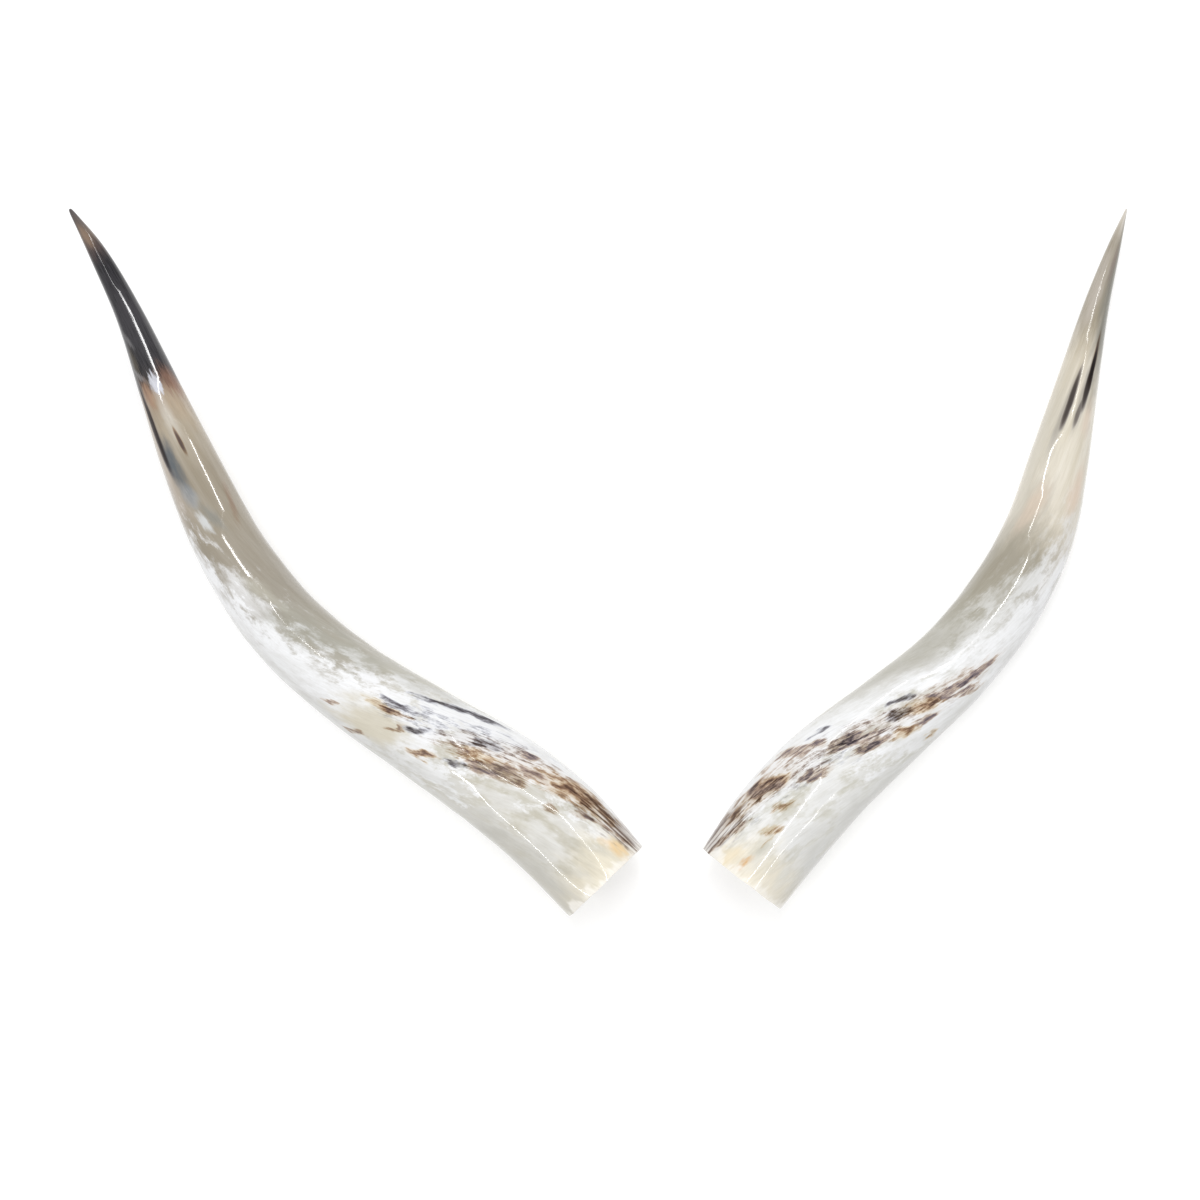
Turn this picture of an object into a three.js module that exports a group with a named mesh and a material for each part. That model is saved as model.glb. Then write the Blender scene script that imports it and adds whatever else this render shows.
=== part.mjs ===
// A pair of polished cow horns lying on a flat surface, in millimetres, +Z up.
// Each horn is one grown piece: a curved, tapering tube that is hollow from its sawn end
// and solid towards its tip. The origin is on the surface, under the middle of the pair.
import * as THREE from 'three';

// Driving dimensions

// Stations along each horn, from the sawn end to the tip:
// [x, y, clearance between the underside and the surface, half width]
const LEFT_STATIONS = [
  [5, -327, 1, 49],
  [-45, -274, 0, 51.5],
  [-102, -229, 0, 50.5],
  [-179, -180, 1, 46],
  [-256, -130, 0, 42.5],
  [-325, -71, 2, 40],
  [-380, 2, 8, 35.5],
  [-421, 82, 20, 30.5],
  [-457, 166, 38, 22.5],
  [-490, 249, 62, 14.5],
  [-520, 312, 87, 9.5],
  [-547, 356, 107, 2],
];
const RIGHT_STATIONS = [
  [136, -324, 2, 47],
  [176, -272, 0, 50],
  [221, -224, 0, 49],
  [284, -171, 1, 44],
  [346, -118, 0, 40],
  [399, -55, 1, 38],
  [439, 17, 3, 34.5],
  [464, 95, 6, 28.5],
  [487, 174, 11, 20.5],
  [510, 253, 17, 13],
  [531, 315, 23, 7],
  [548, 361, 27, 1],
];

// A horn is a little lower than it is wide.
const HEIGHT_TO_WIDTH = 0.94;

// The hollow: its depth as a share of the horn's length, the wall at the sawn end,
// and the share of the outer half width that it still fills two thirds of the way in.
const HOLLOW_DEPTH = 0.66;
const RIM_WALL = 7;
const HOLLOW_WAIST = { depth: 0.44, fill: 0.8 };

// Facets around a horn and along its outside and its hollow.
const SIDES = 28;
const OUTER_RINGS = 44;
const HOLLOW_RINGS = 18;
const LENGTH_SAMPLES = 2000;

const UP = new THREE.Vector3(0, 0, 1);

// The horn's middle line, one point for each station.
function middleLine(stations) {
  const points = stations.map(
    ([x, y, clearance, half]) => new THREE.Vector3(x, y, clearance + half * HEIGHT_TO_WIDTH),
  );
  const line = new THREE.CatmullRomCurve3(points, false, 'catmullrom', 0.5);
  line.arcLengthDivisions = LENGTH_SAMPLES;
  return line;
}

// The outside of the horn as if it were straight: half width against distance from the sawn end.
function outsideProfile(stations, line) {
  const step = LENGTH_SAMPLES / (stations.length - 1);
  const lengths = line.getLengths();
  return new THREE.SplineCurve(
    stations.map(([, , , half], i) => new THREE.Vector2(half, lengths[Math.round(i * step)])),
  );
}

// The half width of the outside at a distance from the sawn end.
function halfWidthAt(outside, distance) {
  const points = outside.getPoints(LENGTH_SAMPLES);
  return points.find((p) => p.y >= distance).x;
}

// The closed outline that is turned about the straight horn's axis: from the end of the hollow
// along its wall to the sawn end, across the rim, and along the outside to the tip.
function hornProfile(stations, line) {
  const length = line.getLength();
  const outside = outsideProfile(stations, line);
  const waistDistance = HOLLOW_WAIST.depth * length;
  const waistHalf = HOLLOW_WAIST.fill * halfWidthAt(outside, waistDistance);
  const hollow = new THREE.SplineCurve([
    new THREE.Vector2(0, HOLLOW_DEPTH * length),
    new THREE.Vector2(waistHalf, waistDistance),
    new THREE.Vector2(stations[0][3] - RIM_WALL, 0),
  ]);
  const tip = new THREE.Vector2(0, length + stations.at(-1)[3]);
  return [...hollow.getPoints(HOLLOW_RINGS), ...outside.getPoints(OUTER_RINGS), tip];
}

// Carries a point of the straight horn onto the horn's middle line.
function bend(point, line, length) {
  const along = THREE.MathUtils.clamp(point.y / length, 0, 1);
  const past = point.y - along * length;
  const forward = line.getTangentAt(along);
  const side = new THREE.Vector3().crossVectors(forward, UP).normalize();
  const rise = new THREE.Vector3().crossVectors(side, forward);
  return line
    .getPointAt(along)
    .addScaledVector(forward, past)
    .addScaledVector(side, point.x)
    .addScaledVector(rise, point.z * HEIGHT_TO_WIDTH);
}

function horn(name, stations, material) {
  const line = middleLine(stations);
  const length = line.getLength();
  const geometry = new THREE.LatheGeometry(hornProfile(stations, line), SIDES);
  const position = geometry.getAttribute('position');
  const point = new THREE.Vector3();
  for (let i = 0; i < position.count; i += 1) {
    point.fromBufferAttribute(position, i);
    const bent = bend(point, line, length);
    position.setXYZ(i, bent.x, bent.y, bent.z);
  }
  geometry.computeVertexNormals();
  const mesh = new THREE.Mesh(geometry, material);
  mesh.name = name;
  return mesh;
}

const darkTippedHorn = new THREE.MeshStandardMaterial({
  color: 0xbdb6a8,
  roughness: 0.18,
  metalness: 0,
});
const paleTippedHorn = new THREE.MeshStandardMaterial({
  color: 0xc6beae,
  roughness: 0.18,
  metalness: 0,
});

const pair = new THREE.Group();
pair.add(horn('left_horn', LEFT_STATIONS, darkTippedHorn));
pair.add(horn('right_horn', RIGHT_STATIONS, paleTippedHorn));

export default pair;
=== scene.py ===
# A pair of polished cow horns on a pale floor: the fine shape, the finish, the light and the camera.
import math

import bpy
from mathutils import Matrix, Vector


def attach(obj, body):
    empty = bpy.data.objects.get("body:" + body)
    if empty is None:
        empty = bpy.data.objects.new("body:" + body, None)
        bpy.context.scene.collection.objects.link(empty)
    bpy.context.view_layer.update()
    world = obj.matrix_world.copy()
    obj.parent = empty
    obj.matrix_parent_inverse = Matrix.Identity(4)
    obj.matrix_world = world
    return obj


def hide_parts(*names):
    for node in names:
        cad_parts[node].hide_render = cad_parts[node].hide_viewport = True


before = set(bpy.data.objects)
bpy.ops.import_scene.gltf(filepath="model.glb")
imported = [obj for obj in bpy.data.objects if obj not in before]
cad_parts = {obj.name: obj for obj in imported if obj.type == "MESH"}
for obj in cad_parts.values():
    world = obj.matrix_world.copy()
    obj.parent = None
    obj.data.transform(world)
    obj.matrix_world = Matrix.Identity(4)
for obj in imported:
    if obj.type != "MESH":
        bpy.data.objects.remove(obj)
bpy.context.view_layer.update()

MM = 0.001

# Stations along each horn, from the sawn end to the tip, in millimetres:
# (x, y, clearance between the underside and the floor, half width)
LEFT_STATIONS = (
    (5, -327, 1, 49),
    (-45, -274, 0, 51.5),
    (-102, -229, 0, 50.5),
    (-179, -180, 1, 46),
    (-256, -130, 0, 42.5),
    (-325, -71, 2, 40),
    (-380, 2, 8, 35.5),
    (-421, 82, 20, 30.5),
    (-457, 166, 38, 22.5),
    (-490, 249, 62, 14.5),
    (-520, 312, 87, 9.5),
    (-547, 356, 107, 2),
)
RIGHT_STATIONS = (
    (136, -324, 2, 47),
    (176, -272, 0, 50),
    (221, -224, 0, 49),
    (284, -171, 1, 44),
    (346, -118, 0, 40),
    (399, -55, 1, 38),
    (439, 17, 3, 34.5),
    (464, 95, 6, 28.5),
    (487, 174, 11, 20.5),
    (510, 253, 17, 13),
    (531, 315, 23, 7),
    (548, 361, 27, 1),
)

# The side of the straight horn, along its y axis, that faces the other horn.
LEFT_INNER_SIDE = -1
RIGHT_INNER_SIDE = 1

# A horn is a little lower than it is wide.
HEIGHT_TO_WIDTH = 0.94

# The hollow: its depth as a share of the horn's length, the wall at the sawn end, and its waist two
# thirds of the way in: its place as a share of the length, and the share of the outer half width it fills.
HOLLOW_DEPTH = 0.66
RIM_WALL = 7 * MM
HOLLOW_WAIST = 0.44
WAIST_FILL = 0.8

# Material places on a horn.
POLISHED, HOLLOW = 0, 1

# How the mesh is laid out. A face whose normal points outwards by less than HOLLOW_LEAN is in the hollow.
SIDES = 48
RINGS_PER_STATION = 5
HOLLOW_RINGS = 16
SMOOTHING_LEVELS = 2
PATH_STEPS = 64
RIM_ROUNDING = 0.9 * MM
RIM_SEGMENTS = 3
CLOSE_GAP = 0.01 * MM
HOLLOW_LEAN = -0.3

# The grain winds round the horn as it grows, by this angle for each metre of length.
GRAIN_TWIST = math.radians(270)

# Hand sanding leaves a slightly uneven skin: the size and depth of its swells.
SWELL_LENGTH = 34 * MM
SWELL_WIDTH = 20 * MM
SWELL_DEPTH = 0.9 * MM
FULL_HALF_WIDTH = 50 * MM

# It also leaves long flats with ridges between them: where each starts and ends along the horn in
# millimetres, the angle it faces and half the angle it covers in degrees, and how soft its ridges are
# as a share of the half width. The angle is 0 on top of the horn and grows towards the other horn.
# A flat's ridge is felt up to FLAT_REACH times its half angle, and never past WIDEST_REACH in radians.
# A point that stands more than CLEAR_RIDGE ridge widths over a flat is simply cut down to it. With a
# higher FLAT_FULLNESS a flat keeps its full width closer to its ends.
FLAT_REACH = 2.5
WIDEST_REACH = 1.2
CLEAR_RIDGE = 30
FLAT_FULLNESS = 4
LEFT_FLATS = (
    (-6, 150, -6, 23, 0.01),
    (72, 204, 29, 23, 0.006),
    (190, 300, -24, 15, 0.01),
    (295, 455, 32, 26, 0.008),
    (440, 545, 29, 22, 0.06),
    (534, 670, 8, 25, 0.06),
    (652, 704, 27, 23, 0.03),
    (700, 790, 18.3, 7, 0.008),
    (780, 826, 16.5, 6, 0.008),
    (812, 872, 28, 24, 0.03),
)
RIGHT_FLATS = (
    (-110, 140, 19, 22, 0.013),
    (-60, 100, -35, 17, 0.007),
    (118, 264, 7, 23, 0.006),
    (250, 440, 28, 23, 0.04),
    (438, 500, 3, 18, 0.045),
    (492, 556, 8, 26, 0.045),
    (560, 664, 27, 25, 0.045),
    (654, 730, 18.5, 6.5, 0.008),
)


# Curve helpers

def blend_through(values, i, t):
    """The value a share t of the way from values[i] to values[i + 1], on a smooth line through all."""
    last = len(values) - 1
    b, c = values[i], values[i + 1]
    a = values[i - 1] if i > 0 else 2 * b - c
    d = values[i + 2] if i + 2 <= last else 2 * c - b
    bend = (2 * a - 5 * b + 4 * c - d) * t * t + (3 * b - a - 3 * c + d) * t * t * t
    return (2 * b + (c - a) * t + bend) / 2


def middle_points(stations):
    """The horn's middle line at its stations, in metres."""
    return [
        Vector((x, y, clearance + half * HEIGHT_TO_WIDTH)) * MM
        for x, y, clearance, half in stations
    ]


def distances(points, samples=200):
    """How far along the smooth line through the points each point lies."""
    found = [0.0]
    for i in range(len(points) - 1):
        steps = [blend_through(points, i, k / samples) for k in range(samples + 1)]
        found.append(found[-1] + sum((q - p).length for p, q in zip(steps, steps[1:])))
    return found


def outside_rings(stations):
    """Distance and half width of each ring of the outside, from the sawn end to the tip."""
    along = distances(middle_points(stations))
    half = [station[3] * MM for station in stations]
    rings = []
    for i in range(len(stations) - 1):
        for k in range(RINGS_PER_STATION):
            t = k / RINGS_PER_STATION
            rings.append((blend_through(along, i, t), blend_through(half, i, t)))
    rings.append((along[-1], half[-1]))
    return rings


def hollow_rings(rings):
    """Distance and half width of each ring of the hollow, from the sawn end inwards."""
    length = rings[-1][0]
    waist = min(rings, key=lambda ring: abs(ring[0] - HOLLOW_WAIST * length))
    along = [0.0, HOLLOW_WAIST * length, HOLLOW_DEPTH * length]
    half = [rings[0][1] - RIM_WALL, waist[1] * WAIST_FILL, 0.0]
    found = []
    for k in range(HOLLOW_RINGS):
        place = 2 * k / HOLLOW_RINGS
        i, t = int(place), place % 1
        found.append((blend_through(along, i, t), blend_through(half, i, t)))
    return found


# Modelling the horns

def deselect_all():
    """Leaves nothing selected, so that no CAD node is changed by accident."""
    bpy.ops.object.select_all(action="DESELECT")


def activate(thing):
    """Makes one object the only one selected, and the active one."""
    deselect_all()
    thing.select_set(True)
    bpy.context.view_layer.objects.active = thing


def apply_modifier(thing, kind, **settings):
    """Adds a modifier with its settings and applies it."""
    modifier = thing.modifiers.new(kind.lower(), kind)
    for key, value in settings.items():
        setattr(modifier, key, value)
    activate(thing)
    bpy.ops.object.modifier_apply(modifier=modifier.name)


def extrude_ring(start, end):
    """Extrudes the selected ring from one (distance, half width) to the next."""
    step = (end[0] - start[0], 0, 0)
    bpy.ops.mesh.extrude_region_move(TRANSFORM_OT_translate={"value": step})
    growth = end[1] / start[1]
    bpy.ops.transform.resize(value=(1, growth, growth), center_override=(end[0], 0, 0))


def select_vertices(thing, wanted):
    """Selects the vertices that the test wants, from edit mode, and stays in edit mode."""
    bpy.ops.mesh.select_all(action="DESELECT")
    bpy.ops.object.mode_set(mode="OBJECT")
    for vertex in thing.data.vertices:
        vertex.select = wanted(vertex.co)
    bpy.ops.object.mode_set(mode="EDIT")


def straight_horn(name, stations):
    """A straight horn along +X, extruded ring by ring, with its rim and its hollow."""
    outside = outside_rings(stations)
    hollow = hollow_rings(outside)
    deselect_all()
    bpy.ops.mesh.primitive_circle_add(
        vertices=SIDES, radius=outside[0][1], fill_type="NOTHING", rotation=(0, math.pi / 2, 0)
    )
    horn = bpy.context.object
    horn.name = horn.data.name = name
    bpy.ops.object.transform_apply(location=True, rotation=True, scale=True)
    bpy.ops.object.mode_set(mode="EDIT")
    bpy.ops.mesh.select_mode(type="VERT")
    bpy.ops.mesh.select_all(action="SELECT")
    for start, end in zip(outside, outside[1:]):
        extrude_ring(start, end)
    tip = outside[-1]
    extrude_ring(tip, (tip[0] + tip[1] / 2, tip[1] / 2))
    bpy.ops.mesh.merge(type="CENTER")

    # From the sawn end, the rim goes inwards and the hollow along the horn.
    select_vertices(horn, lambda co: co.x < RIM_ROUNDING / 2)
    extrude_ring(outside[0], hollow[0])
    for start, end in zip(hollow, hollow[1:]):
        extrude_ring(start, end)
    bpy.ops.mesh.merge(type="CENTER")

    # Both edges of the sawn rim are rounded a little.
    bpy.ops.mesh.select_mode(type="EDGE")
    bpy.ops.mesh.select_all(action="DESELECT")
    bpy.ops.object.mode_set(mode="OBJECT")
    for edge in horn.data.edges:
        ends = [horn.data.vertices[i].co for i in edge.vertices]
        level = all(co.x < RIM_ROUNDING / 2 for co in ends)
        around = abs(ends[0].yz.length - ends[1].yz.length) < RIM_ROUNDING / 2
        edge.select = level and around
    bpy.ops.object.mode_set(mode="EDIT")
    bpy.ops.mesh.bevel(offset=RIM_ROUNDING, segments=RIM_SEGMENTS, affect="EDGES")

    bpy.ops.mesh.select_all(action="SELECT")
    bpy.ops.mesh.remove_doubles(threshold=CLOSE_GAP)
    bpy.ops.mesh.normals_make_consistent(inside=False)
    bpy.ops.object.mode_set(mode="OBJECT")
    for face in horn.data.polygons:
        outward = Vector((0, face.center.y, face.center.z)).normalized()
        face.material_index = HOLLOW if face.normal.dot(outward) < HOLLOW_LEAN else POLISHED
    return horn


def swell(horn):
    """Gives the skin the slight swells of a horn that was sanded by hand."""
    firm = horn.vertex_groups.new(name="firm")
    for vertex in horn.data.vertices:
        firm.add([vertex.index], min(1.0, vertex.co.yz.length / FULL_HALF_WIDTH), "REPLACE")
    texture = bpy.data.textures.new("swells", "CLOUDS")
    texture.noise_scale = 1.0
    texture.noise_depth = 1
    bpy.ops.object.empty_add()
    ruler = bpy.context.object
    ruler.scale = (SWELL_LENGTH, SWELL_WIDTH, SWELL_WIDTH)
    bpy.context.view_layer.update()
    apply_modifier(
        horn,
        "DISPLACE",
        texture=texture,
        texture_coords="OBJECT",
        texture_coords_object=ruler,
        strength=SWELL_DEPTH,
        mid_level=0.5,
        vertex_group=firm.name,
    )
    horn.vertex_groups.clear()
    bpy.data.objects.remove(ruler)
    bpy.data.textures.remove(texture)


def half_width_at(rings, distance):
    """The half width of the outside at a distance from the sawn end."""
    for (near, near_half), (far, far_half) in zip(rings, rings[1:]):
        if distance <= far:
            return near_half + (far_half - near_half) * (distance - near) / (far - near)
    return rings[-1][1]


def press_flats(horn, stations, inner_side, flats):
    """Planes long flats into the straight horn. Each is widest at its middle and ends in points."""
    rings = outside_rings(stations)
    for vertex in horn.data.vertices:
        x, y, z = vertex.co
        reach = math.hypot(y, z)
        if reach < RIM_WALL:
            continue
        angle = math.atan2(inner_side * y, z)
        half_width = half_width_at(rings, x)
        planed = reach
        for start, end, facing, cover, softness in flats:
            share = (2 * x / MM - start - end) / (end - start)
            if abs(share) >= 1:
                continue
            half_angle = math.radians(cover) * math.sqrt(1 - abs(share) ** FLAT_FULLNESS)
            off = abs(angle - math.radians(facing))
            if off > FLAT_REACH * half_angle or off > WIDEST_REACH:
                continue
            limit = half_width * math.cos(half_angle) / math.cos(off)
            ridge = softness * half_width
            over = (planed - limit) / ridge
            planed -= ridge * (over if over > CLEAR_RIDGE else math.log1p(math.exp(over)))
        vertex.co.y = y * planed / reach
        vertex.co.z = z * planed / reach


def mark_grain(horn):
    """Keeps each point's place in the straight, untwisted horn, which the markings follow."""
    count = len(horn.data.vertices)
    places = [0.0] * (3 * count)
    horn.data.vertices.foreach_get("co", places)
    grain = horn.data.attributes.new("grain", "FLOAT_VECTOR", "POINT")
    grain.data.foreach_set("vector", places)


def path_of(stations):
    """The horn's middle line as a curve that a straight horn can be bent along."""
    points = middle_points(stations)
    curve = bpy.data.curves.new("middle_line", "CURVE")
    curve.dimensions = "3D"
    curve.twist_mode = "Z_UP"
    curve.resolution_u = PATH_STEPS
    spline = curve.splines.new("BEZIER")
    spline.bezier_points.add(len(points) - 1)
    for i, (knot, point) in enumerate(zip(spline.bezier_points, points)):
        before = points[i - 1] if i > 0 else 2 * point - points[1]
        after = points[i + 1] if i + 1 < len(points) else 2 * point - points[i - 1]
        reach = (after - before) / 6
        knot.co = point
        knot.handle_left = point - reach
        knot.handle_right = point + reach
    path = bpy.data.objects.new("middle_line", curve)
    bpy.context.scene.collection.objects.link(path)
    return path


def make_horn(name, stations, flats, inner_side):
    """One horn in its place, with its grain marked, its flats planed and its curve bent."""
    horn = straight_horn(name, stations)
    apply_modifier(horn, "SUBSURF", levels=SMOOTHING_LEVELS, render_levels=SMOOTHING_LEVELS)
    swell(horn)
    mark_grain(horn)
    length = max(vertex.co.x for vertex in horn.data.vertices)
    apply_modifier(
        horn,
        "SIMPLE_DEFORM",
        deform_method="TWIST",
        deform_axis="X",
        angle=inner_side * GRAIN_TWIST * length,
    )
    press_flats(horn, stations, inner_side, flats)
    bpy.ops.object.mode_set(mode="EDIT")
    bpy.ops.mesh.select_all(action="SELECT")
    bpy.ops.transform.resize(value=(1, 1, HEIGHT_TO_WIDTH), center_override=(0, 0, 0))
    bpy.ops.object.mode_set(mode="OBJECT")
    path = path_of(stations)
    apply_modifier(horn, "CURVE", object=path, deform_axis="POS_X")
    bpy.data.objects.remove(path)
    activate(horn)
    bpy.ops.object.shade_smooth()
    return horn


left = make_horn("polished_left_horn", LEFT_STATIONS, LEFT_FLATS, LEFT_INNER_SIDE)
right = make_horn("polished_right_horn", RIGHT_STATIONS, RIGHT_FLATS, RIGHT_INNER_SIDE)


# Node helpers

# The sockets of a Mix node that it uses for colours.
MIX_AMOUNT, MIX_UNDER, MIX_OVER = 0, 6, 7
MIX_RESULT = 2


def add_node(tree, kind, inputs=None, **settings):
    """Adds a node. Each input is given a value, or another node's output to link to."""
    made = tree.nodes.new(kind)
    for key, value in settings.items():
        setattr(made, key, value)
    for key, value in (inputs or {}).items():
        if isinstance(value, bpy.types.NodeSocket):
            tree.links.new(value, made.inputs[key])
        else:
            made.inputs[key].default_value = value
    return made


def calculate(tree, operation, first, second=0.0, third=0.0):
    """The output of a Math node."""
    node = add_node(tree, "ShaderNodeMath", {0: first, 1: second, 2: third}, operation=operation)
    return node.outputs[0]


def combine(tree, operation, first, second):
    """A Vector Math node that works on two vectors."""
    return add_node(tree, "ShaderNodeVectorMath", {0: first, 1: second}, operation=operation)


def fade(tree, value, low, high):
    """Rises smoothly from 0 where the value is low to 1 where it is high."""
    node = add_node(
        tree,
        "ShaderNodeMapRange",
        {"Value": value, "From Min": low, "From Max": high},
        interpolation_type="SMOOTHSTEP",
    )
    return node.outputs["Result"]


def tint(tree, amount, under, over, blend="MIX"):
    """Lays one colour over another."""
    node = add_node(tree, "ShaderNodeMix", data_type="RGBA", blend_type=blend)
    for socket, value in ((MIX_AMOUNT, amount), (MIX_UNDER, under), (MIX_OVER, over)):
        if isinstance(value, bpy.types.NodeSocket):
            tree.links.new(value, node.inputs[socket])
        else:
            node.inputs[socket].default_value = value
    return node.outputs[MIX_RESULT]


def colour(red, green, blue):
    """A colour for a shader from its 0 to 255 screen values."""
    linear = []
    for value in (red, green, blue):
        share = value / 255
        linear.append(share / 12.92 if share <= 0.04045 else ((share + 0.055) / 1.055) ** 2.4)
    return (*linear, 1.0)


def colour_band(tree, value, stops):
    """A run of colours along a value. Each stop is a place and a colour."""
    node = add_node(tree, "ShaderNodeValToRGB", {"Fac": value})
    ramp = node.color_ramp
    while len(ramp.elements) < len(stops):
        ramp.elements.new(0.5)
    for element, (place, shade) in zip(ramp.elements, sorted(stops)):
        element.position = place
        element.color = shade
    return node.outputs["Color"]


def new_group(name, inputs, outputs):
    """A shader node group with named sockets, and its two end nodes."""
    group = bpy.data.node_groups.new(name, "ShaderNodeTree")
    for socket, kind in inputs:
        group.interface.new_socket(socket, in_out="INPUT", socket_type="NodeSocket" + kind)
    for socket, kind in outputs:
        group.interface.new_socket(socket, in_out="OUTPUT", socket_type="NodeSocket" + kind)
    return group, group.nodes.new("NodeGroupInput"), group.nodes.new("NodeGroupOutput")


# Horn grain: the fibres, flakes and clouds that run along the twisted horn

# The half width that every ring is scaled to for the grain.
EVEN_HALF_WIDTH = 45 * MM

# The markings are raw up to one distance from the sawn end and smooth from the other, in metres.
RAW_TO, SMOOTH_FROM = 0.28, 0.5
LEAST_SWAY, MOST_SWAY = 0.2, 1.0

# How far the markings sway along the horn and across it, and the cells that they sway in.
SWAY_LENGTH, SWAY_WIDTH = 40 * MM, 14 * MM
SWAY_CELL_LENGTH, SWAY_CELL_WIDTH = 24 * MM, 9 * MM

# The part of a noise's range that is spread over 0 to 1.
NOISE_LOW, NOISE_HIGH = 0.28, 0.72

# Noises: name, length along the horn, width across it, detail, roughness, shift from the others
GRAIN_NOISES = (
    ("Fibre", 18 * MM, 1.1 * MM, 3, 0.6, 3.0),
    ("Flake", 16 * MM, 4.6 * MM, 6, 0.7, 11.0),
    ("Cloud", 26 * MM, 12 * MM, 6, 0.7, 23.0),
    ("Haze", 46 * MM, 20 * MM, 4, 0.6, 29.0),
    ("Broad", 150 * MM, 17 * MM, 3, 0.55, 37.0),
    ("Bark", 70 * MM, 2.3 * MM, 2, 0.5, 67.0),
)


def grain_noise(tree, place, length, width, detail, roughness, shift):
    """Noise from 0 to 1 in cells of a given length along the horn and width across it."""
    stretched = combine(tree, "MULTIPLY", place, (1 / length, 1 / width, 1 / width)).outputs[0]
    moved = combine(tree, "ADD", stretched, (shift, shift, shift)).outputs[0]
    return add_node(
        tree,
        "ShaderNodeTexNoise",
        {"Vector": moved, "Scale": 1.0, "Detail": detail, "Roughness": roughness, "Distortion": 0.2},
    )


def make_grain_group():
    """Where a point lies in the swaying grain, how raw the horn is there, and the grain's noises."""
    group, start, end = new_group(
        "horn_grain",
        [("Place", "Vector")],
        [("Along", "Float"), ("Round", "Vector"), ("Fibre", "Float"), ("Flake", "Float"),
         ("Cloud", "Float"), ("Haze", "Float"), ("Broad", "Float"), ("Bark", "Float"),
         ("Rawness", "Float")],
    )
    # Every ring is scaled to one width, so the grain narrows with the horn.
    parts = add_node(group, "ShaderNodeSeparateXYZ", {0: start.outputs["Place"]})
    across = combine(group, "MULTIPLY", start.outputs["Place"], (0, 1, 1)).outputs[0]
    outward = add_node(group, "ShaderNodeVectorMath", {0: across}, operation="NORMALIZE").outputs[0]
    even = add_node(
        group, "ShaderNodeVectorMath", {0: outward, "Scale": EVEN_HALF_WIDTH}, operation="SCALE"
    )
    forward = add_node(group, "ShaderNodeCombineXYZ", {"X": parts.outputs["X"]})
    place = combine(group, "ADD", even.outputs[0], forward.outputs[0]).outputs[0]

    # The markings are ragged near the sawn end and smooth towards the tip.
    rawness = fade(group, parts.outputs["X"], SMOOTH_FROM, RAW_TO)
    sway = grain_noise(group, place, SWAY_CELL_LENGTH, SWAY_CELL_WIDTH, 2, 0.5, 51.0).outputs["Color"]
    swing = combine(group, "SUBTRACT", sway, (0.5, 0.5, 0.5)).outputs[0]
    wander = combine(group, "MULTIPLY", swing, (SWAY_LENGTH, SWAY_WIDTH, SWAY_WIDTH)).outputs[0]
    strength = calculate(group, "MULTIPLY_ADD", rawness, MOST_SWAY - LEAST_SWAY, LEAST_SWAY)
    moved = add_node(group, "ShaderNodeVectorMath", {0: wander, "Scale": strength}, operation="SCALE")
    swayed = combine(group, "ADD", place, moved.outputs[0]).outputs[0]
    swayed_parts = add_node(group, "ShaderNodeSeparateXYZ", {0: swayed})
    swayed_across = combine(group, "MULTIPLY", swayed, (0, 1, 1)).outputs[0]
    swayed_out = add_node(group, "ShaderNodeVectorMath", {0: swayed_across}, operation="NORMALIZE")
    group.links.new(swayed_parts.outputs["X"], end.inputs["Along"])
    group.links.new(swayed_out.outputs[0], end.inputs["Round"])
    group.links.new(rawness, end.inputs["Rawness"])
    for name, length, width, detail, roughness, shift in GRAIN_NOISES:
        noise = grain_noise(group, place, length, width, detail, roughness, shift)
        spread = fade(group, noise.outputs["Fac"], NOISE_LOW, NOISE_HIGH)
        group.links.new(spread, end.inputs[name])
    return group


def make_mark_group():
    """One marking: a long patch at a place on the horn, with its outline frayed by a noise."""
    group, start, end = new_group(
        "horn_mark",
        [("Along", "Float"), ("Round", "Vector"), ("Noise", "Float"), ("Middle", "Float"),
         ("Toward", "Vector"), ("Lean", "Float"), ("Reach", "Float"), ("Spread", "Float"),
         ("Fray", "Float"), ("Softness", "Float")],
        [("Mask", "Float")],
    )
    given = start.outputs
    ahead = calculate(group, "SUBTRACT", given["Along"], given["Middle"])
    lean = calculate(group, "MULTIPLY", ahead, given["Lean"])
    turned = add_node(
        group, "ShaderNodeVectorRotate", {"Vector": given["Round"], "Angle": lean}, rotation_type="X_AXIS"
    )
    chord = combine(group, "DISTANCE", turned.outputs[0], given["Toward"]).outputs["Value"]
    long_share = calculate(group, "DIVIDE", ahead, given["Reach"])
    wide_share = calculate(group, "DIVIDE", chord, given["Spread"])
    wide_square = calculate(group, "POWER", wide_share, 2.0)
    squares = calculate(group, "MULTIPLY_ADD", long_share, long_share, wide_square)
    close = calculate(group, "SUBTRACT", 1.0, calculate(group, "SQRT", squares))
    uneven = calculate(group, "SUBTRACT", given["Noise"], 0.5)
    frayed = calculate(group, "MULTIPLY_ADD", uneven, given["Fray"], close)
    edge = calculate(group, "MULTIPLY", given["Softness"], -1.0)
    group.links.new(fade(group, frayed, edge, given["Softness"]), end.inputs["Mask"])
    return group


GRAIN_GROUP = make_grain_group()
MARK_GROUP = make_mark_group()


# Markings, as seen on each horn. A marking runs from one place to another, and a place is a distance
# from the sawn end in millimetres and an angle in degrees. The angle is 0 on top of the horn and
# grows towards the other horn.

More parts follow.
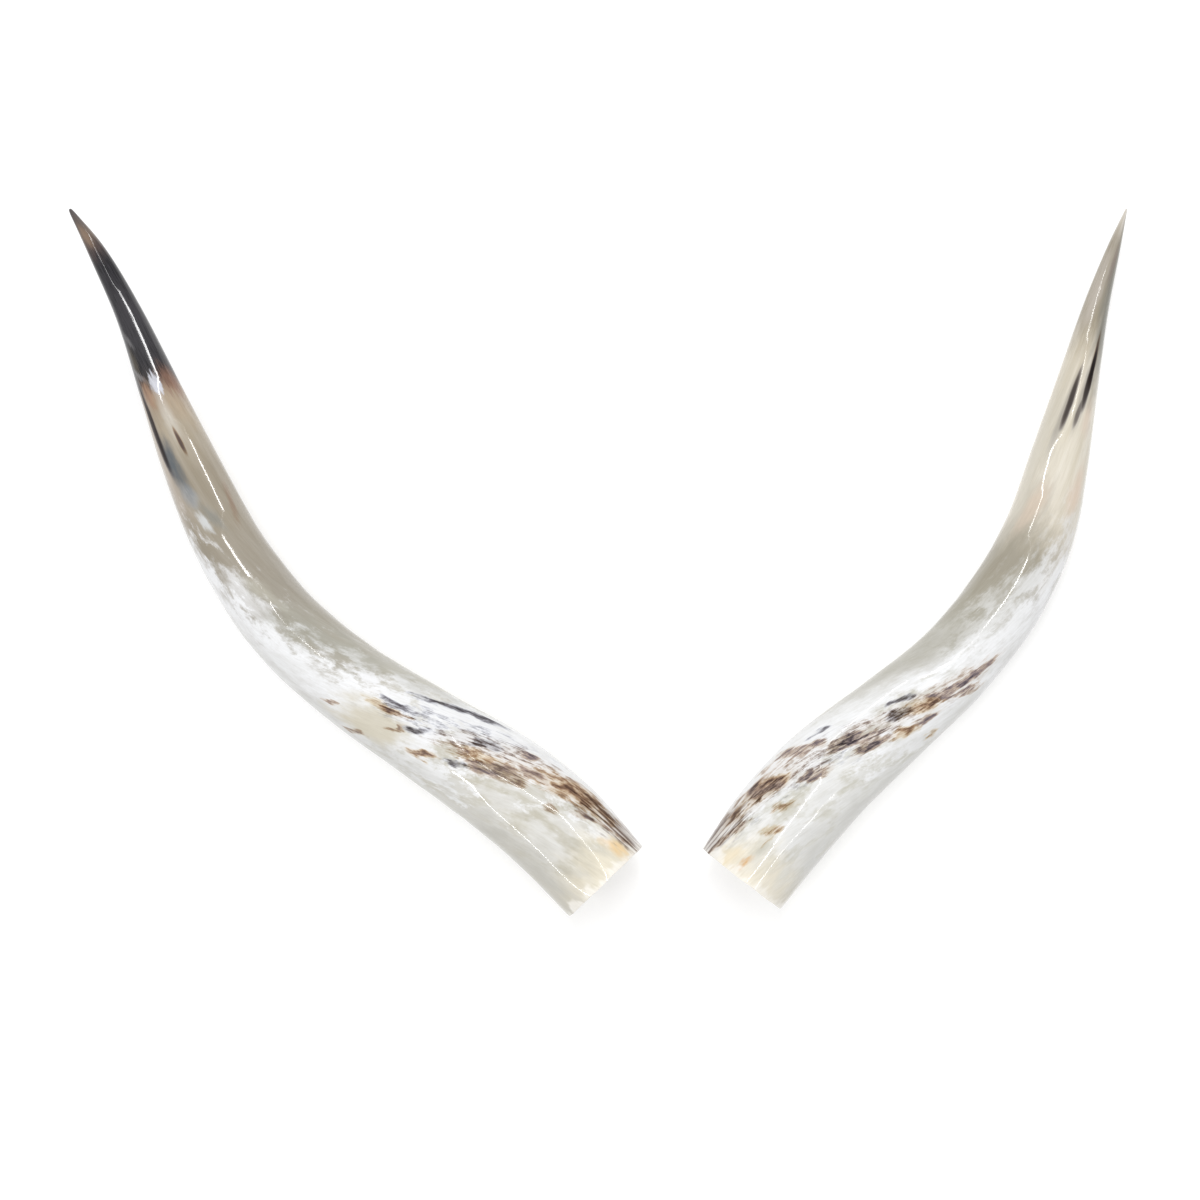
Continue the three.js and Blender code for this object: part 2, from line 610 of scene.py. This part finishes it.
# Amber, brown and grey pigment: start, end, half width in degrees, strength
LEFT_AMBER = (
    ((20, 64), (130, 32), 15, 0.55),
    ((52, 64), (108, 36), 11, 1.0),
    ((106, 24), (205, 3), 10, 0.4),
    ((146, 17), (186, 8), 7, 0.8),
    ((204, -16), (234, -30), 7, 0.7),
    ((250, 6), (296, -2), 6, 0.7),
)
LEFT_BROWN = (
    ((36, 66), (125, 36), 19, 0.55),
    ((95, 54), (215, 5), 19, 0.45),
    ((52, 63), (110, 34), 12, 0.76),
    ((28, 48), (66, 32), 5, 0.75),
    ((0, 62), (60, 46), 5, 0.5),
    ((104, 37), (138, 28), 7, 0.85),
    ((120, 55), (140, 46), 6, 0.85),
    ((116, 20), (178, 2), 11, 0.92),
    ((150, 16), (182, 9), 4, -0.4),
    ((168, 12), (200, 2), 5, 0.7),
    ((208, -18), (230, -29), 6, 0.9),
    ((246, 5), (282, 0), 4, 0.85),
    ((238, -5), (256, -16), 6, 0.9),
    ((279, -47), (304, -63), 4, 0.75),
    ((316, -30), (337, -42), 4, 0.75),
    ((76, 15), (94, 15), 5, 0.55),
    ((624, 12), (654, 8), 5, 1.1),
)
LEFT_GREY = (
    ((100, 62), (290, -6), 22, 0.34),
    ((154, 40), (188, 19), 8, 0.8),
    ((164, -2), (199, -14), 3.5, 0.7),
    ((164, 71), (253, 36), 5.5, 1.1),
    ((186, 62), (240, 42), 6, 1.15),
    ((236, 21), (279, 7), 5, 0.95),
    ((218, 5), (240, -6), 6, 0.95),
    ((612, -34), (716, -50), 8.5, 1.25),
)
RIGHT_AMBER = (
    ((20, 64), (110, 36), 15, 0.5),
    ((72, 56), (102, 34), 10, 0.85),
    ((40, 13), (64, 2), 7, 0.7),
    ((66, 20), (92, 6), 7, 0.6),
    ((194, -14), (220, -27), 8, 0.95),
    ((216, 0), (256, -20), 11, 0.95),
    ((220, -47), (238, -54), 6, 0.7),
)
RIGHT_BROWN = (
    ((30, 66), (150, 25), 22, 0.42),
    ((130, 28), (330, -40), 17, 0.46),
    ((2, 59), (50, 36), 4, 0.75),
    ((26, 72), (54, 52), 15, 0.62),
    ((56, 68), (98, 32), 14, 0.92),
    ((102, 68), (146, 30), 10, 0.85),
    ((84, 69), (102, 65), 6, 0.6),
    ((41, 12), (64, 1), 5, 0.62),
    ((66, 21), (90, 6), 6, 0.55),
    ((106, 17), (136, 3), 8, 0.75),
    ((142, 22), (194, 2), 11, 0.84),
    ((156, 2), (196, -16), 7, 0.85),
    ((222, -2), (254, -21), 6, 0.75),
    ((196, -13), (219, -27), 5, 0.75),
    ((216, -22), (254, -34), 5, 0.95),
    ((248, -4), (268, -28), 7, 0.9),
    ((255, -14), (292, -27), 6, 0.9),
    ((268, -21), (326, -38), 6, 1.0),
    ((264, -28), (302, -52), 6, 0.8),
    ((221, -48), (234, -53), 4, 0.7),
    ((614, -21), (676, -32), 6.5, 1.1),
)
RIGHT_GREY = (
    ((0, 60), (300, -30), 24, 0.3),
    ((142, 51), (164, 44), 5, 0.7),
    ((148, 21), (188, 4), 7, 0.58),
    ((208, 20), (240, 8), 4, 0.85),
    ((204, 6), (234, -6), 8, 0.85),
    ((530, 34), (640, 13), 12, 0.5),
    ((560, 24), (634, 9), 8, 1.15),
    ((556, -2), (650, -24), 12, 0.5),
    ((564, -2), (604, -14), 6, 0.85),
    ((586, -14), (654, -28), 8, 1.35),
)


def add_mark(tree, grain, noise, inner_side, start, end, half_width, fray, softness):
    """Places one marking and gives its mask."""
    lengths = [point[0] * MM for point in (start, end)]
    angles = [math.radians(point[1]) + GRAIN_TWIST * point[0] * MM for point in (start, end)]
    angle = sum(angles) / 2
    lean = (angles[1] - angles[0]) / (lengths[1] - lengths[0])
    node = add_node(tree, "ShaderNodeGroup", node_tree=MARK_GROUP)
    for name, value in (
        ("Along", grain.outputs["Along"]),
        ("Round", grain.outputs["Round"]),
        ("Noise", grain.outputs[noise]),
    ):
        tree.links.new(value, node.inputs[name])
    for name, value in (
        ("Middle", sum(lengths) / 2),
        ("Toward", (0, inner_side * math.sin(angle), math.cos(angle))),
        ("Lean", inner_side * lean),
        ("Reach", (lengths[1] - lengths[0]) / 2),
        ("Spread", 2 * math.sin(math.radians(half_width) / 2)),
        ("Fray", fray),
        ("Softness", softness),
    ):
        node.inputs[name].default_value = value
    return node.outputs["Mask"]


# Finishes

BROWN_PIGMENT = (
    (0.0, (1, 1, 1, 1)),
    (0.15, colour(238, 231, 224)),
    (0.4, colour(200, 180, 162)),
    (0.7, colour(159, 143, 141)),
    (1.0, colour(106, 96, 102)),
)
AMBER_PIGMENT = (
    (0.0, (1, 1, 1, 1)),
    (0.3, colour(242, 230, 210)),
    (0.7, colour(227, 208, 184)),
    (1.0, colour(204, 176, 146)),
)
GREY_PIGMENT = (
    (0.0, (1, 1, 1, 1)),
    (0.15, colour(228, 229, 233)),
    (0.4, colour(176, 175, 181)),
    (0.7, colour(120, 116, 120)),
    (1.0, colour(74, 70, 74)),
)
MILK = colour(242, 243, 245)
BARK = colour(146, 131, 124)
BROAD_SHADE = colour(234, 231, 224)
THREAD_SHADE = colour(204, 200, 194)
THREAD_STRENGTH = 0.2

# Pigment breaks up into threads and flakes, and a level is taken off both.
PIGMENT_THREADS = 0.36
PIGMENT_FLAKES = 0.84
PIGMENT_LEVEL = -0.6
PIGMENT_SOFTNESS = 0.6

# The pigment that first shows and that is full, and the faint stain that stays between its flakes.
PIGMENT_FIRST, PIGMENT_FULL = 0.12, 1.4
STAIN_FIRST, STAIN_FULL = 0.15, 0.9
STAIN_STRENGTH = 0.22

# A third of full pigment is enough for it to break up as much as it can.
BREAKING_GAIN = 3.0

# The border between two bands of the body's colour frays by this length, and the shift centres it.
# Fibres count for this share of what flakes do.
FIBRE_TO_FLAKE = 0.5
BAND_FRAY = 16 * MM
BAND_SHIFT = -12 * MM

# Milk is thinnest where neither clouds nor flakes thicken it.
THINNEST_MILK = 0.67
MILK_FROM_CLOUDS = 0.34
MILK_FROM_FLAKES = 0.2

# The outline of bark and of worn polish: fraying, softness. Bark shows between two levels of its noise.
BARK_OUTLINE = (0.7, 0.4)
BARK_LOW, BARK_HIGH = 0.35, 0.7
WORN_OUTLINE = (0.8, 0.3)

# What raw horn, milk and pigment take off the polish, and what is left where it is worn through.
RAW_DULLING = -0.2
MILK_DULLING = -0.3
PIGMENT_DULLING = -0.7
LEAST_POLISH = 0.05

# How rough the horn is under its polish, from flake to flake.
LEAST_ROUGH, MOST_ROUGH = 0.3, 0.42


def pigment_density(tree, grain, inner_side, streaks):
    """How dense the pigment is. It follows the streaks, broken into flakes where the horn is raw.

    A streak of negative strength clears the pigment instead.
    """
    field = 0.0
    for start, end, half_width, strength in streaks:
        mask = add_mark(
            tree, grain, "Flake", inner_side, start, end, half_width, 0.0, PIGMENT_SOFTNESS
        )
        if strength < 0:
            cleared = calculate(tree, "MULTIPLY_ADD", mask, strength, field)
            field = calculate(tree, "MAXIMUM", cleared, 0.0)
        else:
            field = calculate(tree, "MAXIMUM", field, calculate(tree, "MULTIPLY", mask, strength))
    threads = calculate(tree, "MULTIPLY_ADD", grain.outputs["Fibre"], PIGMENT_THREADS, PIGMENT_LEVEL)
    uneven = calculate(tree, "MULTIPLY_ADD", grain.outputs["Flake"], PIGMENT_FLAKES, threads)
    present = calculate(tree, "MINIMUM", calculate(tree, "MULTIPLY", field, BREAKING_GAIN), 1.0)
    ragged = calculate(tree, "MULTIPLY", present, grain.outputs["Rawness"])
    broken = calculate(tree, "MULTIPLY", uneven, ragged)
    density = fade(tree, calculate(tree, "ADD", field, broken), PIGMENT_FIRST, PIGMENT_FULL)
    stain = calculate(tree, "MULTIPLY", fade(tree, field, STAIN_FIRST, STAIN_FULL), STAIN_STRENGTH)
    return calculate(tree, "MAXIMUM", density, stain)


def start_finish(name):
    """A new material with the horn's grain in it: the material, its node tree and the grain."""
    material = bpy.data.materials.new(name)
    material.use_nodes = True
    tree = material.node_tree
    tree.nodes.clear()
    place = add_node(tree, "ShaderNodeAttribute", attribute_name="grain", attribute_type="GEOMETRY")
    grain = add_node(tree, "ShaderNodeGroup", node_tree=GRAIN_GROUP)
    tree.links.new(place.outputs["Vector"], grain.inputs["Place"])
    return material, tree, grain


def add_surface(tree, inputs):
    """Ends a finish with its shader."""
    shader = add_node(tree, "ShaderNodeBsdfPrincipled", inputs)
    output = add_node(tree, "ShaderNodeOutputMaterial")
    tree.links.new(shader.outputs["BSDF"], output.inputs["Surface"])


def polished_horn(name, inner_side, length, body, clouds, tints_and_painted_light, pigments, bark, worn):
    """Polished horn: milky clouds over the body's colour, dark pigment in the fibres, a clear gloss."""
    material, tree, grain = start_finish(name)
    fibre, flake = grain.outputs["Fibre"], grain.outputs["Flake"]

    # The body's colour changes along the horn, with a frayed border between bands.
    uneven = calculate(tree, "MULTIPLY_ADD", fibre, FIBRE_TO_FLAKE, flake)
    shift = calculate(tree, "MULTIPLY_ADD", uneven, BAND_FRAY, BAND_SHIFT)
    along = calculate(tree, "DIVIDE", calculate(tree, "ADD", grain.outputs["Along"], shift), length)
    skin = colour_band(tree, along, [(distance * MM / length, shade) for distance, shade in body])
    skin = tint(tree, grain.outputs["Broad"], skin, BROAD_SHADE, "MULTIPLY")

    # Milky clouds, of uneven thickness
    milk = 0.0
    for start, end, half_width, noise, fray, softness, strength in clouds:
        mask = add_mark(tree, grain, noise, inner_side, start, end, half_width, fray, softness)
        milk = calculate(tree, "MAXIMUM", milk, calculate(tree, "MULTIPLY", mask, strength))
    thick = calculate(tree, "MULTIPLY_ADD", grain.outputs["Cloud"], MILK_FROM_CLOUDS, THINNEST_MILK)
    thick = calculate(tree, "MULTIPLY_ADD", flake, MILK_FROM_FLAKES, thick)
    milk = calculate(tree, "MULTIPLY", milk, calculate(tree, "MINIMUM", thick, 1.0))
    skin = tint(tree, milk, skin, MILK)

    # Tinted patches, among them painted shade on the outer lower edges and a painted highlight round the
    # sawn rim
    for start, end, half_width, noise, fray, softness, strength, shade in tints_and_painted_light:
        mask = add_mark(tree, grain, noise, inner_side, start, end, half_width, fray, softness)
        skin = tint(tree, calculate(tree, "MULTIPLY", mask, strength), skin, shade)

    # Dark pigment, lines of bark over it and fine threads over all
    raw = 0.0
    for streaks, stops in pigments:
        density = pigment_density(tree, grain, inner_side, streaks)
        skin = tint(tree, 1.0, skin, colour_band(tree, density, stops), "MULTIPLY")
        raw = calculate(tree, "MAXIMUM", raw, density)
    for start, end, half_width, strength in bark:
        mask = add_mark(tree, grain, "Flake", inner_side, start, end, half_width, *BARK_OUTLINE)
        shown = fade(tree, grain.outputs["Bark"], BARK_LOW, BARK_HIGH)
        lines = calculate(tree, "MULTIPLY", shown, strength)
        skin = tint(tree, calculate(tree, "MULTIPLY", mask, lines), skin, BARK, "MULTIPLY")
    threads = calculate(tree, "MULTIPLY", fibre, THREAD_STRENGTH)
    skin = tint(tree, threads, skin, THREAD_SHADE, "MULTIPLY")

    # The polish is full on clear horn, thin on chalky clouds and raw pigment, and worn in places.
    polish = calculate(tree, "MULTIPLY_ADD", grain.outputs["Rawness"], RAW_DULLING, 1.0)
    polish = calculate(tree, "MULTIPLY_ADD", milk, MILK_DULLING, polish)
    polish = calculate(tree, "MULTIPLY_ADD", raw, PIGMENT_DULLING, polish)
    for start, end, half_width, strength in worn:
        mask = add_mark(tree, grain, "Flake", inner_side, start, end, half_width, *WORN_OUTLINE)
        polish = calculate(tree, "MULTIPLY_ADD", mask, -strength, polish)
    polish = calculate(tree, "MAXIMUM", polish, LEAST_POLISH)
    rough = add_node(
        tree, "ShaderNodeMapRange", {"Value": flake, "To Min": LEAST_ROUGH, "To Max": MOST_ROUGH}
    )
    add_surface(
        tree,
        {
            "Base Color": skin,
            "Roughness": rough.outputs["Result"],
            "Specular IOR Level": 0.05,
            "Coat Weight": polish,
            "Coat Roughness": 0.09,
            "Coat IOR": 1.54,
        },
    )
    return material


def hollow_wall():
    """The dull, ridged inside of a horn."""
    material, tree, grain = start_finish("hollow_wall")
    stains = [(0.0, colour(216, 200, 170)), (0.6, colour(190, 168, 134)), (1.0, colour(150, 126, 98))]
    shade = colour_band(tree, grain.outputs["Haze"], stains)
    shade = tint(tree, grain.outputs["Flake"], shade, colour(222, 212, 198), "MULTIPLY")
    bump = add_node(
        tree, "ShaderNodeBump", {"Height": grain.outputs["Flake"], "Strength": 0.5, "Distance": 0.6 * MM}
    )
    add_surface(tree, {"Base Color": shade, "Roughness": 0.62, "Normal": bump.outputs["Normal"]})
    return material


# Body colour: distance from the sawn end in millimetres, colour
LEFT_BODY = (
    (0, colour(214, 209, 194)),
    (40, colour(203, 200, 188)),
    (250, colour(203, 200, 188)),
    (330, colour(184, 180, 170)),
    (440, colour(165, 159, 148)),
    (600, colour(166, 157, 142)),
    (660, colour(184, 174, 158)),
    (698, colour(172, 153, 135)),
    (709, colour(48, 42, 42)),
    (718, colour(16, 15, 19)),
    (846, colour(12, 12, 16)),
    (862, colour(78, 65, 61)),
    (878, colour(122, 107, 96)),
    (905, colour(86, 80, 81)),
)
RIGHT_BODY = (
    (0, colour(222, 217, 203)),
    (40, colour(212, 211, 202)),
    (250, colour(205, 204, 194)),
    (320, colour(180, 178, 168)),
    (420, colour(168, 162, 148)),
    (470, colour(230, 224, 212)),
    (560, colour(228, 222, 208)),
    (640, colour(222, 215, 201)),
    (690, colour(170, 162, 147)),
    (780, colour(166, 158, 144)),
    (815, colour(224, 219, 212)),
)

# Milky clouds: start, end, half width in degrees, noise that frays them, fraying, softness, strength
LEFT_CLOUDS = (
    ((-120, 110), (350, 10), 44, "Cloud", 0.9, 0.35, 0.95),
    ((150, -10), (570, -100), 70, "Cloud", 0.85, 0.32, 0.97),
    ((20, -30), (300, -90), 50, "Haze", 2.2, 0.7, 0.55),
    ((60, -40), (260, -70), 40, "Cloud", 2.0, 0.9, 0.25),
    ((400, -46), (566, -84), 34, "Cloud", 0.8, 0.5, 0.92),
    ((396, 0), (506, -26), 17, "Cloud", 1.0, 0.5, 0.7),
)
RIGHT_CLOUDS = (
    ((-120, 110), (350, 10), 44, "Cloud", 0.9, 0.35, 0.95),
    ((150, -10), (475, -80), 70, "Cloud", 0.8, 0.4, 0.97),
    ((10, -20), (300, -90), 50, "Haze", 2.2, 0.6, 0.75),
    ((20, -30), (260, -70), 40, "Cloud", 2.0, 0.9, 0.3),
)

# Tinted patches, with painted shade on the outer lower edges and a painted highlight round the sawn rim:
# start, end, half width in degrees, noise, fraying, softness, strength, colour
LEFT_TINTS_AND_PAINTED_LIGHT = (
    ((-25, 20), (34, 20), 46, "Haze", 0.7, 0.9, 0.7, colour(244, 236, 216)),
    ((-20, -40), (24, -44), 46, "Haze", 0.7, 0.9, 0.4, colour(238, 231, 214)),
    ((3, 43), (26, 35), 9, "Haze", 0.6, 0.9, 0.8, colour(240, 206, 148)),
    # Painted shade: the outer lower edge is darkened where it faces away from the light, from the sawn end
    # to the middle.
    ((-30, -58), (170, -78), 30, "Haze", 0.8, 0.9, 0.75, colour(184, 181, 170)),
    ((140, -62), (420, -82), 30, "Haze", 0.9, 0.9, 0.6, colour(188, 187, 180)),
    ((246, -20), (318, -34), 24, "Haze", 0.8, 0.6, 0.85, colour(208, 201, 182)),
    ((210, 80), (345, 50), 22, "Haze", 0.9, 0.8, 0.65, colour(178, 176, 166)),
    ((335, 38), (440, 10), 24, "Haze", 0.9, 0.8, 0.5, colour(168, 168, 158)),
    ((420, 24), (472, 8), 9, "Haze", 0.9, 0.8, 0.4, colour(206, 204, 192)),
    ((538, 46), (580, 58), 5, "Fibre", 0.8, 0.8, 0.5, colour(142, 112, 90)),
    ((572, -12), (598, -22), 10, "Haze", 0.8, 0.7, 0.7, colour(176, 179, 182)),
    ((534, 18), (566, 0), 9, "Flake", 0.8, 0.7, 0.6, colour(134, 136, 132)),
    ((538, -4), (562, -16), 7, "Flake", 0.8, 0.6, 0.8, colour(216, 219, 221)),
    ((560, -45), (690, -52), 22, "Haze", 0.6, 0.7, 0.6, colour(200, 188, 176)),
    ((588, -18), (650, -29), 13, "Haze", 0.7, 0.7, 0.9, colour(84, 93, 101)),
    ((690, 62), (722, 46), 28, "Fibre", 1.2, 0.5, 0.75, colour(140, 102, 80)),
    ((684, -16), (716, -30), 14, "Fibre", 1.2, 0.5, 0.6, colour(170, 132, 104)),
    ((654, 60), (706, 10), 20, "Fibre", 0.8, 0.9, 0.3, colour(198, 178, 152)),
    ((636, 8), (692, 2), 11, "Fibre", 0.8, 0.7, 0.6, colour(214, 209, 199)),
    ((692, 9), (718, 6), 13, "Flake", 1.0, 0.3, 0.95, colour(216, 218, 227)),
    ((712, 20), (862, 0), 75, "Fibre", 2.2, 0.7, 0.2, colour(120, 117, 124)),
    ((722, -36), (752, -44), 13, "Fibre", 1.2, 0.6, 0.6, colour(92, 84, 70)),
    ((712, -20), (730, -48), 7, "Fibre", 1.0, 0.7, 0.5, colour(158, 156, 158)),
    ((752, -22), (770, -46), 7, "Fibre", 1.0, 0.7, 0.4, colour(150, 148, 150)),
    ((866, 0), (890, -14), 30, "Fibre", 1.0, 0.6, 0.5, colour(152, 126, 104)),
    ((-16, 74), (66, 58), 17, "Fibre", 0.8, 0.5, 0.75, colour(202, 194, 188)),
    # Painted highlight: a pale band all round the sawn rim, for the bright cut edge.
    ((-14, 10), (6, 10), 170, "Haze", 0.5, 0.4, 0.75, colour(250, 247, 240)),
)
RIGHT_TINTS_AND_PAINTED_LIGHT = (
    ((-25, -10), (32, -14), 56, "Haze", 0.7, 0.9, 0.75, colour(244, 236, 218)),
    ((3, 15), (23, 8), 3.5, "Flake", 0.8, 0.7, 0.85, colour(218, 172, 116)),
    ((-2, 36), (20, 28), 11, "Haze", 0.8, 0.8, 0.65, colour(235, 219, 186)),
    # Painted shade: the outer lower edge is darkened where it faces away from the light.
    ((-20, -58), (330, -84), 30, "Haze", 0.9, 0.9, 0.6, colour(192, 191, 185)),
    ((165, 80), (345, 40), 25, "Cloud", 0.9, 0.6, 0.7, colour(192, 189, 179)),
    ((226, 62), (350, 34), 24, "Haze", 0.8, 0.8, 0.6, colour(172, 170, 160)),
    ((330, 14), (430, -4), 20, "Cloud", 1.2, 0.8, 0.45, colour(184, 183, 175)),
    ((430, -40), (524, -52), 24, "Haze", 0.9, 0.8, 0.4, colour(200, 192, 176)),
    ((375, 46), (490, 34), 32, "Haze", 0.8, 0.7, 0.65, colour(160, 154, 140)),
    ((460, 60), (640, 48), 28, "Haze", 0.8, 0.6, 0.75, colour(202, 196, 182)),
    ((448, 40), (500, 24), 12, "Haze", 0.8, 0.7, 0.6, colour(214, 196, 178)),
    ((484, -32), (530, -44), 12, "Haze", 0.8, 0.7, 0.7, colour(224, 204, 186)),
    ((560, -28), (600, -38), 12, "Haze", 0.8, 0.7, 0.6, colour(226, 208, 192)),
    ((624, -42), (790, -52), 30, "Haze", 0.7, 0.8, 0.9, colour(132, 130, 122)),
    ((735, -18), (776, -28), 14, "Fibre", 1.0, 0.7, 0.6, colour(136, 122, 116)),
    ((674, 36), (770, 30), 26, "Haze", 0.8, 0.7, 0.5, colour(198, 191, 184)),
    ((-16, 76), (58, 60), 17, "Fibre", 0.8, 0.5, 0.75, colour(204, 197, 192)),
    # Painted highlight: a pale band all round the sawn rim, for the bright cut edge.
    ((-14, 10), (6, 10), 170, "Haze", 0.5, 0.4, 0.65, colour(250, 247, 240)),
)

# Lines of bark left at the sawn end: start, end, half width in degrees, strength
LEFT_BARK = (((-20, 76), (74, 46), 17, 1.0),)
RIGHT_BARK = (((-20, 78), (62, 48), 17, 1.0),)

# Worn polish: start, end, half width in degrees, strength
LEFT_WORN = (
    ((-16, 15), (60, 20), 10, 0.5),
    ((196, 22), (214, 26), 12, 0.5),
    ((376, 12), (424, 6), 18, 0.65),
    ((442, 12), (474, 8), 16, 0.9),
    ((528, 16), (552, 24), 30, 1.6),
    ((640, 22), (686, 10), 40, 1.7),
    ((806, 20), (884, 8), 30, 0.6),
)
RIGHT_WORN = (
    ((124, 10), (150, 26), 14, 0.5),
    ((262, 30), (352, 6), 16, 0.45),
    ((420, 10), (452, 16), 20, 0.9),
    ((452, 14), (492, 28), 18, 0.6),
    ((550, 24), (582, 10), 28, 0.95),
    ((586, 22), (650, 14), 24, 0.55),
    ((652, 20), (664, 14), 24, 0.8),
    ((664, 22), (748, 12), 30, 0.6),
)

left_length = distances(middle_points(LEFT_STATIONS))[-1]
right_length = distances(middle_points(RIGHT_STATIONS))[-1]
dark_tipped = polished_horn(
    "dark_tipped_polish",
    inner_side=LEFT_INNER_SIDE,
    length=left_length,
    body=LEFT_BODY,
    clouds=LEFT_CLOUDS,
    tints_and_painted_light=LEFT_TINTS_AND_PAINTED_LIGHT,
    pigments=((LEFT_AMBER, AMBER_PIGMENT), (LEFT_BROWN, BROWN_PIGMENT), (LEFT_GREY, GREY_PIGMENT)),
    bark=LEFT_BARK,
    worn=LEFT_WORN,
)
pale_tipped = polished_horn(
    "pale_tipped_polish",
    inner_side=RIGHT_INNER_SIDE,
    length=right_length,
    body=RIGHT_BODY,
    clouds=RIGHT_CLOUDS,
    tints_and_painted_light=RIGHT_TINTS_AND_PAINTED_LIGHT,
    pigments=((RIGHT_AMBER, AMBER_PIGMENT), (RIGHT_BROWN, BROWN_PIGMENT), (RIGHT_GREY, GREY_PIGMENT)),
    bark=RIGHT_BARK,
    worn=RIGHT_WORN,
)
inside = hollow_wall()

for horn, finish, node, slot in (
    (left, dark_tipped, "left_horn", "dark_tipped_horn"),
    (right, pale_tipped, "right_horn", "pale_tipped_horn"),
):
    horn.data.materials.append(finish)
    horn.data.materials.append(inside)
    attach(horn, "root")
    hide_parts(node)


# Floor, light and camera

FLOOR_SIZE = 12
FLOOR_GREY = 0.62
FLOOR_GLOW = 0.46
WORLD_GLOW = 0.54
LAMP_SPREAD = 1.5
SENSOR_WIDTH = 36
LENS = 40.41
CAMERA_PLACE = (0.086, -0.266, 1.383)
CAMERA_TILT = math.radians(9.19)
CAMERA_SIDE_TILT = math.radians(3.73)


def make_floor():
    """A white floor that glows a little, so that shadows on it stay faint."""
    deselect_all()
    bpy.ops.mesh.primitive_plane_add(size=FLOOR_SIZE)
    floor = bpy.context.object
    floor.name = "floor"
    material = bpy.data.materials.new("white_floor")
    material.use_nodes = True
    shader = material.node_tree.nodes["Principled BSDF"]
    shader.inputs["Base Color"].default_value = (FLOOR_GREY, FLOOR_GREY, FLOOR_GREY, 1)
    shader.inputs["Roughness"].default_value = 0.9
    shader.inputs["Specular IOR Level"].default_value = 0.1
    shader.inputs["Emission Color"].default_value = (1, 1, 1, 1)
    shader.inputs["Emission Strength"].default_value = FLOOR_GLOW
    floor.data.materials.append(material)


def add_area_light(name, place, size, power, glossy):
    """A rectangular light that faces the middle of the pair."""
    light = bpy.data.lights.new(name, "AREA")
    light.shape = "RECTANGLE"
    light.size, light.size_y = size
    light.energy = power
    thing = bpy.data.objects.new(name, light)
    thing.location = place
    thing.rotation_euler = Vector(place).to_track_quat("Z", "Y").to_euler()
    thing.visible_glossy = glossy
    bpy.context.scene.collection.objects.link(thing)


def make_world():
    """An even white surround."""
    world = bpy.data.worlds.new("studio")
    world.use_nodes = True
    background = world.node_tree.nodes["Background"]
    background.inputs["Color"].default_value = (1, 1, 1, 1)
    background.inputs["Strength"].default_value = WORLD_GLOW
    bpy.context.scene.world = world


def make_camera():
    """The camera, looking almost straight down."""
    data = bpy.data.cameras.new("camera")
    data.sensor_width = SENSOR_WIDTH
    data.lens = LENS
    camera = bpy.data.objects.new("camera", data)
    camera.location = CAMERA_PLACE
    camera.rotation_euler = (CAMERA_TILT, CAMERA_SIDE_TILT, 0)
    bpy.context.scene.collection.objects.link(camera)
    bpy.context.scene.camera = camera


make_floor()
add_area_light("strip_above", place=(0.05, 0.6, 2.3), size=(0.16, 2.8), power=32, glossy=True)
for side, power in ((-LAMP_SPREAD, 11), (LAMP_SPREAD, 6)):
    add_area_light("lamp_in_front", place=(side, -1.5, 2.2), size=(0.8, 0.1), power=power, glossy=True)
add_area_light("soft_box", place=(0.1, 0.6, 2.6), size=(2.4, 2.4), power=4, glossy=False)
make_world()
bpy.context.scene.view_settings.view_transform = "Standard"
make_camera()
